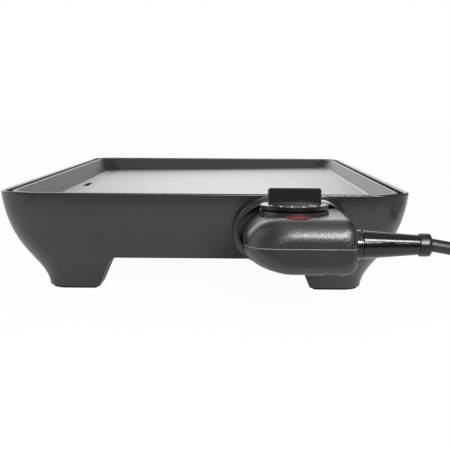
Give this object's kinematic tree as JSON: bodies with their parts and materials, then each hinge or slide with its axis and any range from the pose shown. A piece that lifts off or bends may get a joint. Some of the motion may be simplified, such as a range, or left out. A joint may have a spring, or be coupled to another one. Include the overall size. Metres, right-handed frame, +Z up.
{
  "type": "electric table grill",
  "caption": "Low electric table grill with a sloping cast plate and side gutter, a drip tray that slides out, and a plug-in heat control with a dial, a pilot light and a cord.",
  "frame": {"origin": "on the table, in the middle of the width and of the length that housing and heat control take together, cord left out", "axes": "+X to the right with the heat control facing the viewer, +Y from the control to the back along the plate's length, +Z up"},
  "size_m": [0.4977, 0.5849, 0.0828],
  "materials": {
    "housing_moulding": "fine textured moulding, dark charcoal",
    "pad_rubber": "matt black rubber",
    "coated_casting": "cast aluminium under a dark satin non-stick coating",
    "element_sheath": "dull heat-darkened steel sheath",
    "sheet_steel": "plain zinc-plated sheet",
    "plated_pins": "nickel-plated, smooth",
    "ceramic": "off-white unglazed ceramic",
    "heat_moulding": "heat-resistant moulding, near black",
    "screw_steel": "bright zinc-plated steel",
    "reflector_sheet": "pressed aluminised sheet",
    "fibre": "pressed mineral fibre",
    "control_moulding": "grained moulding, dark charcoal",
    "contact_brass": "bright brass",
    "lamp_glass": "clear glass with a warm tint",
    "red_lens": "clear red moulding, polished",
    "dial_moulding": "smooth satin moulding, near black",
    "relief_moulding": "glossy black moulding",
    "cord_sheath": "satin black sheath",
    "plug_moulding": "satin black moulding"
  },
  "bodies": {
    "base": {"housing": "housing_moulding", "foot_pads": "pad_rubber", "griddle_plate": "coated_casting", "heating_element": "element_sheath", "element_clamps": "sheet_steel", "terminal_pins": "plated_pins", "terminal_insulators": "ceramic", "terminal_guard": "heat_moulding", "guard_screws": "screw_steel", "probe_sleeve": "plated_pins", "heat_reflector": "reflector_sheet", "plate_spacers": "fibre", "plate_screws": "screw_steel", "tray_rails": "sheet_steel", "rail_screws": "screw_steel"},
    "tray": {"drip_tray": "housing_moulding"},
    "control": {"control_upper_shell": "control_moulding", "control_lower_shell": "control_moulding", "control_screws": "screw_steel", "contact_block": "heat_moulding", "contact_sleeves": "contact_brass", "probe_rod": "plated_pins", "thermostat_frame": "sheet_steel", "switch_stack": "ceramic", "switch_leaves": "contact_brass", "pilot_lamp": "lamp_glass", "pilot_lens": "red_lens", "strain_relief": "relief_moulding", "power_cord": "cord_sheath", "cord_coil": "cord_sheath", "cord_end": "cord_sheath", "plug_body": "plug_moulding", "plug_blades": "contact_brass", "plug_ground_pin": "contact_brass"},
    "dial": {"dial_knob": "dial_moulding", "dial_shaft": "screw_steel"}
  },
  "joints": [
    {"name": "control_pull", "type": "slide", "parent": "base", "child": "control", "axis": [0, -1, 0], "range_m": [0, 0.115]},
    {"name": "dial_turn", "type": "hinge", "parent": "control", "child": "dial", "pos_m": [0.062, -0.2445, 0.07], "axis": [0, 0, -1], "range_deg": [0, 270]},
    {"name": "tray_slide", "type": "slide", "parent": "base", "child": "tray", "axis": [-1, 0, 0], "range_m": [0, 0.095]}
  ]
}
